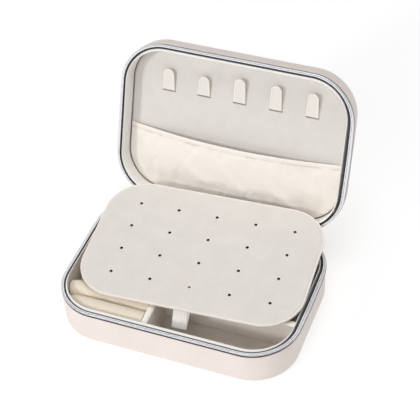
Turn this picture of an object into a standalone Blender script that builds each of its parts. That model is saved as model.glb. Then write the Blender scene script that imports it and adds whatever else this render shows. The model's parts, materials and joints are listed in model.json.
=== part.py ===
"""Zip-round jewellery case: base tray, hinged lid and a loose earring board.

Metres, +Z up.  The origin is the centre of the base's underside, the front of the
case faces -Y and the hinge runs along X at the back.  The lid stands open and the
earring board lies pushed back over the tray, with its rear edge inside the lid.
"""
import bmesh
import bpy
from math import asin, cos, pi, radians, sin, sqrt
from mathutils import Matrix, Vector

# Overall sizes
CASE_WIDTH = 0.210
CASE_DEPTH = 0.144
CORNER_RADIUS = 0.039
BASE_HEIGHT = 0.0353
LID_HEIGHT = 0.0252
LID_OPEN_ANGLE = radians(111.7)

# Shells, linings and the air left between separate pieces
WALL = 0.0022
BASE_EDGE_ROUND = 0.003
LID_EDGE_ROUND = 0.0084
GAP = 0.0003
ARC_STEPS = 9
CROWN_STEPS = 8
TAB_STEPS = 10
SHELL_EDGE_STEPS = 4
BEND_ANGLE = radians(50)

# Zip band on both rims, measured inwards from the outer wall
ZIP_HEIGHT = 0.0041
ZIP_TAPE_WIDTH = 0.0012
ZIP_TEETH_WIDTH = 0.0011
ZIP_TAPE_DROP = 0.0006
RIM_CLEARANCE = 0.00015
SPINE_END_ROOM = 0.006
SPINE_THICKNESS = 0.0009
SPINE_REACH = 0.009
SPINE_FOLD_ROOM = 0.0022

# Lining
LINING_OUTSET = 0.0030
LINING_SIDE = 0.0046
LINING_FRONT = 0.0064
LINING_FLOOR = 0.0010

# Inside the base
ROLL_COUNT = 8
ROLL_DROP = 0.0021
DIVIDER_DROP = 0.0023
DIVIDER_THICKNESS = 0.0056
DIVIDER_EDGE_ROUND = 0.0014
LONG_DIVIDER_X = -0.0195
CROSS_DIVIDER_Y = -0.0262
REAR_DIVIDER_X = 0.0400

# Inside the lid
PADDING_THICKNESS = 0.0027
PANEL_THICKNESS = 0.0020
PANEL_INSET = 0.0038
PADDING_INSET = 0.010
HOOK_COUNT = 5
HOOK_PITCH = 0.033
HOOK_WIDTH = 0.0112
HOOK_LENGTH = 0.0195
HOOK_THICKNESS = 0.0016
HOOK_LIFT = radians(8)
HOOK_ROOT_Y = -0.027
POCKET_TOP_Y = 0.0095
POCKET_SAG = 0.004
POCKET_BULGE = 0.0068
POCKET_THICKNESS = 0.0008
POCKET_MARGIN = 0.0012
HEM_WIDTH = 0.0045
HEM_THICKNESS = 0.0008
POCKET_COLUMNS = 16
POCKET_ROWS = 6

# Earring board and its ribbon.  At rest the middle of its rear edge is placed from the hinge
BOARD_SIDE_ROOM = 0.0014
BOARD_FRONT_ROOM = 0.00215
BOARD_THICKNESS = 0.0022
BOARD_REAR_SHIFT = -0.0013
BOARD_REAR_REACH = 0.00842
BOARD_REAR_RISE = 0.01382
BOARD_TILT = radians(5.0)
BOARD_YAW = radians(2.97)
BOARD_CLOSED_Y = -0.001
BOARD_CLOSED_RISE = 0.0011
HOLE_COLUMNS = 5
HOLE_ROWS = 4
HOLE_PITCH_X = 0.0352
HOLE_PITCH_Y = 0.0260
HOLE_RADIUS = 0.0010
HOLE_SIDES = 8
HOLE_SHIFT_X = 0.0012
RIBBON_WIDTH = 0.0130
RIBBON_LENGTH = 0.0166
RIBBON_THICKNESS = 0.0012
RIBBON_X = 0.0005
RIBBON_INSET = 0.0022
RIBBON_LEAN = radians(28)

# Zip slider, parked at the left end of the zip, and its pull
SLIDER_CLEARANCE = 0.00075
SLIDER_LENGTH = 0.0095
SLIDER_HEIGHT = 0.0076
SLIDER_DEPTH = 0.0034
SLIDER_TOP = 0.0035
SLIDER_ROUND = 0.0008
PULL_PIN_RADIUS = 0.0008
PULL_PIN_CLEARANCE = 0.00035
PULL_BARREL_WALL = 0.0007
PULL_BARREL_LENGTH = 0.0034
PULL_WIDTH = 0.0055
PULL_LENGTH = 0.020
PULL_THICKNESS = 0.0012
LUG_THICKNESS = 0.0009
PIN_SIDES = 16

HALF_X = CASE_WIDTH / 2
HALF_Y = CASE_DEPTH / 2
SPINE_WIDTH = 2 * (HALF_X - CORNER_RADIUS - SPINE_END_ROOM)
SLIDER_X = -(SPINE_WIDTH / 2 + SLIDER_LENGTH / 2 + SLIDER_CLEARANCE)
FLOOR_TOP = WALL + GAP + LINING_FLOOR
ROLL_TOP = BASE_HEIGHT - ROLL_DROP
DIVIDER_TOP = BASE_HEIGHT - DIVIDER_DROP
INSIDE_X = HALF_X - LINING_SIDE
INSIDE_Y = HALF_Y - LINING_FRONT
INSIDE_RADIUS = CORNER_RADIUS - (LINING_SIDE + LINING_FRONT) / 2
LID_INSIDE_Y = HALF_Y - LINING_SIDE
LID_INSIDE_RADIUS = CORNER_RADIUS - LINING_SIDE
PANEL_DEPTH = LID_HEIGHT - WALL - 2 * GAP - PADDING_THICKNESS - PANEL_THICKNESS
BOARD_WIDTH = 2 * (INSIDE_X - BOARD_SIDE_ROOM)
BOARD_DEPTH = 2 * (INSIDE_Y - BOARD_FRONT_ROOM)
BOARD_RADIUS = INSIDE_RADIUS + BOARD_SIDE_ROOM
BOARD_CLOSED_TOP = BASE_HEIGHT + BOARD_CLOSED_RISE
HINGE = Vector((0, HALF_Y, BASE_HEIGHT))

for old in list(bpy.data.objects):
    bpy.data.objects.remove(old, do_unlink=True)
parts = bpy.data.collections.new("jewellery_case")
cutters = bpy.data.collections.new("cutters")
bpy.context.scene.collection.children.link(parts)
bpy.context.scene.collection.children.link(cutters)


def material(name, colour, roughness, metallic=0.0):
    made = bpy.data.materials.new(name)
    made.use_nodes = True
    shader = made.node_tree.nodes["Principled BSDF"]
    shader.inputs["Base Color"].default_value = (*colour, 1)
    shader.inputs["Roughness"].default_value = roughness
    shader.inputs["Metallic"].default_value = metallic
    made.diffuse_color = (*colour, 1)
    return made


BLUSH = material("blush_leatherette", (0.86, 0.74, 0.69), 0.45)
SUEDE = material("greige_microsuede", (0.71, 0.68, 0.64), 0.95)
CREAM = material("cream_velvet", (0.85, 0.79, 0.70), 0.95)
TAB = material("ivory_leatherette", (0.90, 0.88, 0.83), 0.5)
SATIN = material("cream_satin", (0.85, 0.79, 0.72), 0.4)
SILVER = material("silver_nylon_coil", (0.72, 0.72, 0.76), 0.25, 0.9)
STEEL = material("nickel_plated_zinc", (0.75, 0.75, 0.77), 0.2, 1.0)
FOAM = material("white_foam", (0.85, 0.85, 0.83), 0.9)


def finish(piece, name, look, parent=None):
    """Names a piece, gives it its material and hangs it on its joint."""
    piece.name = name
    piece.data.name = name
    piece.data.materials.clear()
    piece.data.materials.append(look)
    if parent:
        piece.parent = parent
    return piece


def mesh_object(name, bm, group=parts):
    mesh = bpy.data.meshes.new(name)
    bmesh.ops.recalc_face_normals(bm, faces=bm.faces)
    bm.to_mesh(mesh)
    bm.free()
    made = bpy.data.objects.new(name, mesh)
    group.objects.link(made)
    return made


def rounded(half_x, half_y, radius, inset=0.0):
    """Counter-clockwise outline of a rectangle with round corners."""
    half_x, half_y, radius = half_x - inset, half_y - inset, radius - inset
    points = []
    for quarter, (sx, sy) in enumerate(((1, 1), (-1, 1), (-1, -1), (1, -1))):
        for step in range(ARC_STEPS + 1):
            turn = (quarter + step / ARC_STEPS) * pi / 2
            points.append((sx * (half_x - radius) + radius * cos(turn),
                           sy * (half_y - radius) + radius * sin(turn)))
    return points


def side_at(y, half_x, half_y, radius):
    """Half width of a rectangle with round corners, at y from its middle."""
    over = min(radius, max(0.0, abs(y) - (half_y - radius)))
    return half_x - radius + sqrt(radius ** 2 - over ** 2)


def circle(x, y, radius, sides):
    turns = [2 * pi * side / sides for side in range(sides)]
    return [(x + radius * cos(turn), y + radius * sin(turn)) for turn in turns]


def plate(name, loops, bottom, top, group=parts):
    """Flat outline, with any holes, as a solid between two heights."""
    curve = bpy.data.curves.new(name, "CURVE")
    curve.dimensions = "2D"
    curve.fill_mode = "BOTH"
    curve.extrude = (top - bottom) / 2
    for loop in loops:
        spline = curve.splines.new("POLY")
        spline.points.add(len(loop) - 1)
        for point, (x, y) in zip(spline.points, loop):
            point.co = (x, y, 0, 1)
        spline.use_cyclic_u = True
    outline = bpy.data.objects.new(name, curve)
    outline.location.z = (top + bottom) / 2
    group.objects.link(outline)
    bpy.context.view_layer.update()
    graph = bpy.context.evaluated_depsgraph_get()
    mesh = bpy.data.meshes.new_from_object(outline.evaluated_get(graph))
    mesh.transform(outline.matrix_world)
    bpy.data.objects.remove(outline, do_unlink=True)
    bm = bmesh.new()
    bm.from_mesh(mesh)
    bpy.data.meshes.remove(mesh)
    bmesh.ops.remove_doubles(bm, verts=bm.verts, dist=1e-6)
    return mesh_object(name, bm, group)


def box(name, low, high, group=parts):
    bm = bmesh.new()
    bmesh.ops.create_cube(bm, size=1)
    low, high = Vector(low), Vector(high)
    bmesh.ops.scale(bm, vec=high - low, verts=bm.verts)
    bmesh.ops.translate(bm, vec=(low + high) / 2, verts=bm.verts)
    return mesh_object(name, bm, group)


def x_prism(name, profile, x_low, x_high, group=parts):
    """A (y, z) profile drawn flat and stood up so that it runs along X."""
    made = plate(name, [profile], x_low, x_high, group)
    made.data.transform(Matrix(((0, 0, 1, 0), (1, 0, 0, 0), (0, 1, 0, 0), (0, 0, 0, 1))))
    return made


def x_cylinder(name, radius, length, centre, group=parts):
    bm = bmesh.new()
    bmesh.ops.create_cone(bm, cap_ends=True, segments=PIN_SIDES, radius1=radius, radius2=radius,
                          depth=length)
    bmesh.ops.rotate(bm, cent=(0, 0, 0), matrix=Matrix.Rotation(pi / 2, 3, "Y"), verts=bm.verts)
    bmesh.ops.translate(bm, vec=centre, verts=bm.verts)
    return mesh_object(name, bm, group)


def boolean(piece, other, operation):
    step = piece.modifiers.new(operation.lower(), "BOOLEAN")
    step.operation = operation
    step.solver = "EXACT"
    step.object = other
    other.hide_render = True
    other.display_type = "WIRE"


def round_edges(piece, width, segments=2):
    step = piece.modifiers.new("round_edges", "BEVEL")
    step.width = width
    step.segments = segments
    step.limit_method = "ANGLE"
    step.angle_limit = BEND_ANGLE


def shell(name, closed_z, open_z, edge_round):
    """A wrapped tray wall: floor or top at closed_z, open rim at open_z."""
    tray = plate(name, [rounded(HALF_X, HALF_Y, CORNER_RADIUS)],
                 min(closed_z, open_z), max(closed_z, open_z))
    bm = bmesh.new()
    bm.from_mesh(tray.data)
    rim = [face for face in bm.faces
           if all(abs(vert.co.z - open_z) < GAP / 3 for vert in face.verts)]
    bmesh.ops.delete(bm, geom=rim, context="FACES_ONLY")
    flat = [edge for edge in bm.edges if len(edge.link_faces) == 2
            and edge.calc_face_angle() < radians(1)]
    bmesh.ops.dissolve_edges(bm, edges=flat, use_verts=False)
    bm.to_mesh(tray.data)
    bm.free()
    round_edges(tray, edge_round, SHELL_EDGE_STEPS)
    skin = tray.modifiers.new("wall", "SOLIDIFY")
    skin.thickness = WALL
    skin.offset = -1
    skin.use_even_offset = True
    tray.data.shade_smooth()
    return tray


def band(name, outer_inset, width, bottom, top):
    """Zip strip along both sides and the front, ending at the spine behind."""
    def path(inset):
        ring = rounded(HALF_X, HALF_Y, CORNER_RADIUS, inset)
        half = len(ring) // 4
        ends = ((-SPINE_WIDTH / 2, HALF_Y - inset), (SPINE_WIDTH / 2, HALF_Y - inset))
        return [ends[0]] + ring[half:] + ring[:half] + [ends[1]]
    outline = path(outer_inset) + path(outer_inset + width)[::-1]
    return plate(name, [outline], bottom, top)


def leaf(name, upward):
    """Half of the leather spine: it caps the rim and folds down the rear wall."""
    wrap = -(ZIP_TAPE_WIDTH + ZIP_TEETH_WIDTH + GAP)
    seat = ZIP_HEIGHT - GAP
    outside = GAP + SPINE_THICKNESS
    profile = [(wrap, seat), (GAP, seat), (GAP, SPINE_REACH), (outside, SPINE_REACH),
               (outside, SPINE_FOLD_ROOM), (0, SPINE_FOLD_ROOM), (0, RIM_CLEARANCE),
               (wrap, RIM_CLEARANCE)]
    side = 1 if upward else -1
    placed = [(y, side * z) for y, z in profile]
    return x_prism(name, placed, -SPINE_WIDTH / 2 + GAP, SPINE_WIDTH / 2 - GAP)


# ---- Base ----
finish(shell("base_shell", 0.0, BASE_HEIGHT - ZIP_HEIGHT, BASE_EDGE_ROUND), "base_shell", BLUSH)

lining = plate("base_lining", [rounded(HALF_X, HALF_Y, CORNER_RADIUS, LINING_OUTSET)],
               WALL + GAP, BASE_HEIGHT - RIM_CLEARANCE)
base_cavity = plate("base_cavity", [rounded(INSIDE_X, INSIDE_Y, INSIDE_RADIUS)],
                    FLOOR_TOP, BASE_HEIGHT + ZIP_HEIGHT, cutters)
boolean(lining, base_cavity, "DIFFERENCE")
finish(lining, "base_lining", SUEDE)

zip_seat = BASE_HEIGHT - ZIP_HEIGHT + GAP
finish(band("base_zip_tape", 0.0, ZIP_TAPE_WIDTH, zip_seat, BASE_HEIGHT - ZIP_TAPE_DROP),
       "base_zip_tape", SILVER)
TEETH_INSET = ZIP_TAPE_WIDTH + GAP
finish(band("base_zip_teeth", TEETH_INSET, ZIP_TEETH_WIDTH, zip_seat, BASE_HEIGHT - RIM_CLEARANCE),
       "base_zip_teeth", SILVER)
lower_leaf = finish(leaf("spine_lower_leaf", upward=False), "spine_lower_leaf", BLUSH)
lower_leaf.location = HINGE

# Ring rolls: foam slabs with round tops, trimmed to the tray's corners
roll_room = plate("roll_room", [rounded(INSIDE_X, INSIDE_Y, INSIDE_RADIUS, GAP)], 0.0,
                  BASE_HEIGHT, cutters)
divider_left = LONG_DIVIDER_X - DIVIDER_THICKNESS / 2
roll_pitch = 2 * INSIDE_Y / ROLL_COUNT
roll_half = roll_pitch / 2 - GAP
for index in range(ROLL_COUNT):
    middle = -INSIDE_Y + (index + 0.5) * roll_pitch
    crown = [(middle + roll_half * cos(pi * step / CROWN_STEPS),
              ROLL_TOP - roll_half + roll_half * sin(pi * step / CROWN_STEPS))
             for step in range(CROWN_STEPS + 1)]
    foot = FLOOR_TOP + GAP
    profile = crown + [(middle - roll_half, foot), (middle + roll_half, foot)]
    name = f"ring_roll_{index + 1}"
    roll = x_prism(name, profile, -INSIDE_X, divider_left - GAP)
    boolean(roll, roll_room, "INTERSECT")
    finish(roll, name, CREAM)

# Padded dividers
half_divider = DIVIDER_THICKNESS / 2
divider_room = INSIDE_Y - GAP
divider_foot = FLOOR_TOP + GAP
long_divider = box("long_divider", (divider_left, -divider_room, divider_foot),
                   (LONG_DIVIDER_X + half_divider, divider_room, DIVIDER_TOP))
round_edges(long_divider, DIVIDER_EDGE_ROUND)
finish(long_divider, "long_divider", SUEDE)
cross_front = CROSS_DIVIDER_Y - half_divider
cross_end = side_at(cross_front, INSIDE_X, INSIDE_Y, INSIDE_RADIUS) - GAP
cross_divider = box("cross_divider",
                    (LONG_DIVIDER_X + half_divider + GAP, cross_front, divider_foot),
                    (cross_end, CROSS_DIVIDER_Y + half_divider, DIVIDER_TOP))
round_edges(cross_divider, DIVIDER_EDGE_ROUND)
finish(cross_divider, "cross_divider", SUEDE)
rear_divider = box("rear_divider",
                   (REAR_DIVIDER_X - half_divider, CROSS_DIVIDER_Y + half_divider + GAP,
                    divider_foot),
                   (REAR_DIVIDER_X + half_divider, divider_room, DIVIDER_TOP))
round_edges(rear_divider, DIVIDER_EDGE_ROUND)
finish(rear_divider, "rear_divider", SUEDE)

# ---- Zip slider and pull, behind the left end of the spine ----
slider_back = HALF_Y + GAP + SLIDER_DEPTH
slider_high = BASE_HEIGHT - SLIDER_TOP
slider = box("zip_slider", (SLIDER_X - SLIDER_LENGTH / 2, HALF_Y + GAP, slider_high - SLIDER_HEIGHT),
             (SLIDER_X + SLIDER_LENGTH / 2, slider_back, slider_high))
round_edges(slider, SLIDER_ROUND)
barrel_bore = PULL_PIN_RADIUS + PULL_PIN_CLEARANCE
barrel_radius = barrel_bore + PULL_BARREL_WALL
pull_pin = Vector((SLIDER_X, slider_back + barrel_radius + GAP, slider_high - SLIDER_HEIGHT / 2))
lug_inner = PULL_BARREL_LENGTH / 2 + GAP
for side in (-1, 1):
    inner, outer = side * lug_inner, side * (lug_inner + LUG_THICKNESS)
    lug = box(f"lug_{side}",
              (SLIDER_X + min(inner, outer), HALF_Y + 2 * GAP, pull_pin.z - barrel_radius),
              (SLIDER_X + max(inner, outer), pull_pin.y + barrel_bore, pull_pin.z + barrel_radius),
              cutters)
    boolean(slider, lug, "UNION")
pin = x_cylinder("pull_pin", PULL_PIN_RADIUS, 2 * lug_inner + LUG_THICKNESS, pull_pin, cutters)
boolean(slider, pin, "UNION")
finish(slider, "zip_slider", STEEL)

pull_joint = bpy.data.objects.new("zip_pull_joint", None)
pull_joint.location = pull_pin
parts.objects.link(pull_joint)
pull = x_cylinder("zip_pull", barrel_radius, PULL_BARREL_LENGTH, Vector())
tongue_join = barrel_radius - PULL_BARREL_WALL / 2
tongue = plate("pull_tongue", [rounded(PULL_WIDTH / 2, PULL_LENGTH / 2, PULL_WIDTH / 2 - GAP)],
               -PULL_THICKNESS / 2, PULL_THICKNESS / 2, cutters)
tongue.data.transform(Matrix.Translation((0, 0, -PULL_LENGTH / 2 - tongue_join - PULL_WIDTH / 2))
                      @ Matrix.Rotation(pi / 2, 4, "X"))
neck = box("pull_neck", (-PULL_BARREL_LENGTH / 2 + GAP, -PULL_THICKNESS / 2, -tongue_join - PULL_WIDTH),
           (PULL_BARREL_LENGTH / 2 - GAP, PULL_THICKNESS / 2, -tongue_join), cutters)
bore = x_cylinder("pull_bore", barrel_bore, 2 * PULL_BARREL_LENGTH, Vector(), cutters)
for helper in (tongue, neck, bore):
    helper.parent = pull_joint
boolean(pull, neck, "UNION")
boolean(pull, tongue, "UNION")
boolean(pull, bore, "DIFFERENCE")
finish(pull, "zip_pull", STEEL, pull_joint)

# ---- Lid, modelled shut about the hinge line and turned open by its joint ----
lid_joint = bpy.data.objects.new("lid_joint", None)
lid_joint.location = HINGE
lid_joint.rotation_euler.x = -LID_OPEN_ANGLE
parts.objects.link(lid_joint)


def lid_piece(piece, name, look):
    """Moves a piece drawn about the case's centre to the hinge line's frame."""
    piece.data.transform(Matrix.Translation((0, -HALF_Y, 0)))
    return finish(piece, name, look, lid_joint)


lid_piece(shell("lid_shell", LID_HEIGHT, ZIP_HEIGHT, LID_EDGE_ROUND), "lid_shell", BLUSH)
lid_zip_top = ZIP_HEIGHT - GAP
lid_piece(band("lid_zip_tape", 0.0, ZIP_TAPE_WIDTH, ZIP_TAPE_DROP, lid_zip_top),
          "lid_zip_tape", SILVER)
lid_piece(band("lid_zip_teeth", TEETH_INSET, ZIP_TEETH_WIDTH, RIM_CLEARANCE, lid_zip_top),
          "lid_zip_teeth", SILVER)
finish(leaf("spine_upper_leaf", upward=True), "spine_upper_leaf", BLUSH, lid_joint)

lid_cavity = rounded(INSIDE_X, LID_INSIDE_Y, LID_INSIDE_RADIUS)
lining_ring = [rounded(HALF_X, HALF_Y, CORNER_RADIUS, LINING_OUTSET), lid_cavity]
lid_piece(plate("lid_lining", lining_ring, RIM_CLEARANCE, PANEL_DEPTH - GAP), "lid_lining", SUEDE)
panel_outline = rounded(HALF_X, HALF_Y, CORNER_RADIUS, PANEL_INSET)
panel_back = PANEL_DEPTH + PANEL_THICKNESS
lid_piece(plate("lid_panel", [panel_outline], PANEL_DEPTH, panel_back), "lid_panel", SUEDE)
padding_outline = rounded(HALF_X, HALF_Y, CORNER_RADIUS, PADDING_INSET)
lid_piece(plate("lid_padding", [padding_outline], panel_back + GAP, LID_HEIGHT - WALL - GAP),
          "lid_padding", FOAM)


def hook_outline():
    """Tab with a straight root at y = 0 and a round end towards -Y."""
    half = HOOK_WIDTH / 2
    tip = [(-half * cos(pi * step / TAB_STEPS),
            -(HOOK_LENGTH - half) - half * sin(pi * step / TAB_STEPS))
           for step in range(TAB_STEPS + 1)]
    return [(half, 0.0), (-half, 0.0)] + tip


for index in range(HOOK_COUNT):
    name = f"necklace_hook_{index + 1}"
    hook = plate(name, [hook_outline()], -HOOK_THICKNESS, 0.0)
    lift = Matrix.Rotation(HOOK_LIFT, 4, "X")
    root = Vector(((index - (HOOK_COUNT - 1) / 2) * HOOK_PITCH, HOOK_ROOT_Y, PANEL_DEPTH - GAP))
    hook.data.transform(Matrix.Translation(root) @ lift)
    lid_piece(hook, name, TAB)


# Pocket: a sheet over the lower part of the panel, bowed out along its mouth
PANEL_HALF_X = INSIDE_X - POCKET_MARGIN
PANEL_HALF_Y = LID_INSIDE_Y - POCKET_MARGIN
POCKET_RADIUS = LID_INSIDE_RADIUS - POCKET_MARGIN


def pocket_point(across, down):
    """Inner face of the sheet: across -1..1, down 0 at the mouth to 1 at the bottom."""
    bow = 1 - across * across
    top = POCKET_TOP_Y + POCKET_SAG * bow
    y = top + (PANEL_HALF_Y - GAP - top) * sin(down * pi / 2)
    x = across * side_at(y, PANEL_HALF_X, PANEL_HALF_Y, POCKET_RADIUS)
    bulge = POCKET_BULGE * bow * cos(down * pi / 2)
    return Vector((x, y, PANEL_DEPTH - GAP - bulge))


def sheet(name, point, columns, rows, thickness):
    """A grid laid on a surface and given its thickness away from the panel."""
    bm = bmesh.new()
    grid = [[bm.verts.new(point(2 * column / columns - 1, row / rows))
             for column in range(columns + 1)] for row in range(rows + 1)]
    for row in range(rows):
        for column in range(columns):
            corners = (grid[row][column], grid[row + 1][column],
                       grid[row + 1][column + 1], grid[row][column + 1])
            bm.faces.new(corners)
    top = bmesh.ops.extrude_face_region(bm, geom=bm.faces[:])
    moved = [item for item in top["geom"] if isinstance(item, bmesh.types.BMVert)]
    bmesh.ops.translate(bm, vec=(0, 0, -thickness), verts=moved)
    return mesh_object(name, bm)


lid_piece(sheet("lid_pocket", pocket_point, POCKET_COLUMNS, POCKET_ROWS, POCKET_THICKNESS),
          "lid_pocket", SATIN)
HEM_DROP = POCKET_THICKNESS + GAP
HEM_SHARE = 2 / pi * asin(HEM_WIDTH / (PANEL_HALF_Y - POCKET_TOP_Y))


def hem_point(across, down):
    """The hem lies on the outside of the sheet along the mouth."""
    return pocket_point(across * (1 - HEM_SHARE / 2), down * HEM_SHARE) - Vector((0, 0, HEM_DROP))


lid_piece(sheet("pocket_hem", hem_point, POCKET_COLUMNS, 1, HEM_THICKNESS), "pocket_hem", SATIN)

# ---- Earring board: lies over the tray and is carried onto its seat as the lid shuts ----
board_turn = Matrix.Rotation(BOARD_TILT, 3, "X") @ Matrix.Rotation(BOARD_YAW, 3, "Z")
rear_middle = HINGE + Vector((BOARD_REAR_SHIFT, BOARD_REAR_REACH, BOARD_REAR_RISE))
board_rest = rear_middle - board_turn @ Vector((0, BOARD_DEPTH / 2, 0))
close_turn = Matrix.Rotation(LID_OPEN_ANGLE, 3, "X")
carry = close_turn.inverted() @ board_turn.inverted()
carry_quaternion = carry.to_quaternion()
carry_axis = carry_quaternion.axis * (1 if carry_quaternion.axis.x > 0 else -1)


def carry_shift(closed_x):
    """Shift of the carrying motion, seen from the lid, for a seat at closed_x."""
    seat = Vector((closed_x, BOARD_CLOSED_Y, BOARD_CLOSED_TOP))
    return close_turn.inverted() @ (board_turn.inverted() @ -board_rest + seat - HINGE) + HINGE


# The seat's x is the one that leaves a pure turn, with no slide along the axis
along = carry_axis.dot(carry_shift(0.0))
per_metre = carry_axis.dot(carry_shift(1.0)) - along
BOARD_CLOSED_X = -along / per_metre
shift = carry_shift(BOARD_CLOSED_X)
half_turn = carry_quaternion.angle / 2
sense = 1 if carry_quaternion.axis.x > 0 else -1
pivot = (shift + sense * cos(half_turn) / sin(half_turn) * carry_axis.cross(shift)) / 2
pivot -= carry_axis * (pivot.x / carry_axis.x)
board_joint = bpy.data.objects.new("board_joint", None)
board_joint.location = pivot
board_joint.rotation_mode = "QUATERNION"
board_joint.rotation_quaternion = carry_axis.to_track_quat("X", "Z")
parts.objects.link(board_joint)
bpy.context.view_layer.update()

board_loops = [rounded(BOARD_WIDTH / 2, BOARD_DEPTH / 2, BOARD_RADIUS)]
for row in range(HOLE_ROWS):
    for column in range(HOLE_COLUMNS):
        hole_x = (column - (HOLE_COLUMNS - 1) / 2) * HOLE_PITCH_X + HOLE_SHIFT_X
        hole_y = (row - (HOLE_ROWS - 1) / 2) * HOLE_PITCH_Y
        board_loops.append(circle(hole_x, hole_y, HOLE_RADIUS, HOLE_SIDES))
board = finish(plate("earring_board", board_loops, -BOARD_THICKNESS, 0.0), "earring_board", SUEDE)
board_place = Matrix.Translation(board_rest) @ board_turn.to_4x4()
ribbon = box("board_ribbon", (-RIBBON_WIDTH / 2, 0, -RIBBON_LENGTH),
             (RIBBON_WIDTH / 2, RIBBON_THICKNESS, 0))
ribbon_top = -BOARD_THICKNESS - GAP - RIBBON_THICKNESS / 2
ribbon_root = board_place @ Vector((RIBBON_X, RIBBON_INSET - BOARD_DEPTH / 2, ribbon_top))
ribbon_place = (Matrix.Translation(ribbon_root) @ Matrix.Rotation(BOARD_YAW, 4, "Z")
                @ Matrix.Rotation(-RIBBON_LEAN, 4, "X"))
for piece, place in ((board, board_place), (ribbon, ribbon_place)):
    piece.parent = board_joint
    piece.matrix_parent_inverse = board_joint.matrix_world.inverted()
    piece.matrix_basis = place
finish(ribbon, "board_ribbon", SATIN)
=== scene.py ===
"""A zip-round jewellery case, built up in the order it is put together.

Metres and +Z up; the origin is the middle of the base's underside, and the front faces -Y.
"""
import json
from math import cos, exp, pi, radians, sin, sqrt

import bmesh
import bpy
from mathutils import Matrix, Vector, noise


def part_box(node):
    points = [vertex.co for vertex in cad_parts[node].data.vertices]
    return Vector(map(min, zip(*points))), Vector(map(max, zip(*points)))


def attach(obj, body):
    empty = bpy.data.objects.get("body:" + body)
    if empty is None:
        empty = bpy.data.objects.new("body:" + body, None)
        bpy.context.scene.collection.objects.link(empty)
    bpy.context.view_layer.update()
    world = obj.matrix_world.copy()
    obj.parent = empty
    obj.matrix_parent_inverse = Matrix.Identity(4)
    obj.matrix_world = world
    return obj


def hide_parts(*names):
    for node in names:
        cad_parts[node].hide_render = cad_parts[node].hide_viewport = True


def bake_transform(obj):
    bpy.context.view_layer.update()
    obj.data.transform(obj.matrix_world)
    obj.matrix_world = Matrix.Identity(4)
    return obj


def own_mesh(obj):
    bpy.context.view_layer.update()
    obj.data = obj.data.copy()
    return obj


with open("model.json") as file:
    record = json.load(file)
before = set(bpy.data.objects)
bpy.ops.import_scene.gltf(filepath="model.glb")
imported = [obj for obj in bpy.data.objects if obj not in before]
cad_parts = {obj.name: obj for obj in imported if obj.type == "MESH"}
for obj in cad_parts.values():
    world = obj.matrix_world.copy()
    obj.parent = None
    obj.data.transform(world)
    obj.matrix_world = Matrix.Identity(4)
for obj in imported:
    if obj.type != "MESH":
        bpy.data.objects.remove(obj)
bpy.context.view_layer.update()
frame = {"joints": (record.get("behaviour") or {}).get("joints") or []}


# ---- Base shell ----
# The tray's outside: board wrapped in blush polyurethane leatherette, turned over at the
# bottom edge and glued in under the zip.  It is soft to the eye, with a fine even grain.

joints = {joint["name"]: joint for joint in frame["joints"]}
hinge = Vector(joints["lid_hinge"]["pos_m"])
shell_low, shell_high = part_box("base_shell")
half_x, half_y = shell_high.x, shell_high.y
corner_radius = 0.039
board_wall = 0.0022
rim_z = hinge.z
corner_steps = 18
side_steps = 12


def outline(across, along, radius):
    """Points round a rectangle with round corners, each with its outward direction."""
    corners = ((1, 1), (-1, 1), (-1, -1), (1, -1))
    arcs = []
    for quarter, (side_x, side_y) in enumerate(corners):
        middle = Vector((side_x * (across - radius), side_y * (along - radius)))
        outs = [Vector((cos(turn), sin(turn))) for turn in
                ((quarter + step / corner_steps) * pi / 2 for step in range(corner_steps + 1))]
        arcs.append([(middle + out * radius, out) for out in outs])
    points = []
    for arc, after in zip(arcs, arcs[1:] + arcs[:1]):
        points += arc
        (start, out), (end, _) = arc[-1], after[0]
        points += [(start.lerp(end, step / side_steps), out) for step in range(1, side_steps)]
    return points


def ring(points, inset, z, scale=1.0):
    """The outline moved inwards and set at a height."""
    return [Vector((*((point - out * inset) * scale), z)) for point, out in points]


def loft(name, rings, looped=False):
    """A closed skin over rings of points; flat ends unless the rings run in a loop."""
    bm = bmesh.new()
    rows = [[bm.verts.new(point) for point in one] for one in rings]
    pairs = list(zip(rows, rows[1:] + rows[:1] if looped else rows[1:]))
    for lower, upper in pairs:
        for index in range(len(lower)):
            after = (index + 1) % len(lower)
            bm.faces.new((lower[index], lower[after], upper[after], upper[index]))
    if not looped:
        bm.faces.new(rows[0])
        bm.faces.new(rows[-1])
    bmesh.ops.recalc_face_normals(bm, faces=bm.faces)
    return as_object(name, bm)


def linked(name, data):
    """A new object in the scene."""
    made = bpy.data.objects.new(name, data)
    bpy.context.scene.collection.objects.link(made)
    return made


def as_object(name, bm, crease=radians(40)):
    """A finished mesh as an object, smooth but for its creases."""
    mesh = bpy.data.meshes.new(name)
    bm.to_mesh(mesh)
    bm.free()
    mesh.shade_smooth()
    mesh.set_sharp_from_angle(angle=crease)
    return linked(name, mesh)


def fit(piece, body, material, slot, *nodes):
    """Gives a finished piece its material and its place on the frame."""
    piece.data.materials.clear()
    piece.data.materials.append(material)
    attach(piece, body)
    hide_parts(*nodes)
    return piece


def faced(piece, material, chosen):
    """A second finish on the faces that a rule picks."""
    piece.data.materials.append(material)
    for face in piece.data.polygons:
        if chosen(face):
            face.material_index = len(piece.data.materials) - 1


def drop(*pieces):
    for piece in pieces:
        bpy.data.objects.remove(piece, do_unlink=True)


def linear(code):
    """A colour from its sRGB hex code."""
    parts = [int(code[place:place + 2], 16) / 255 for place in (0, 2, 4)]
    return (*(part / 12.92 if part <= 0.04045 else ((part + 0.055) / 1.055) ** 2.4
              for part in parts), 1.0)


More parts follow.
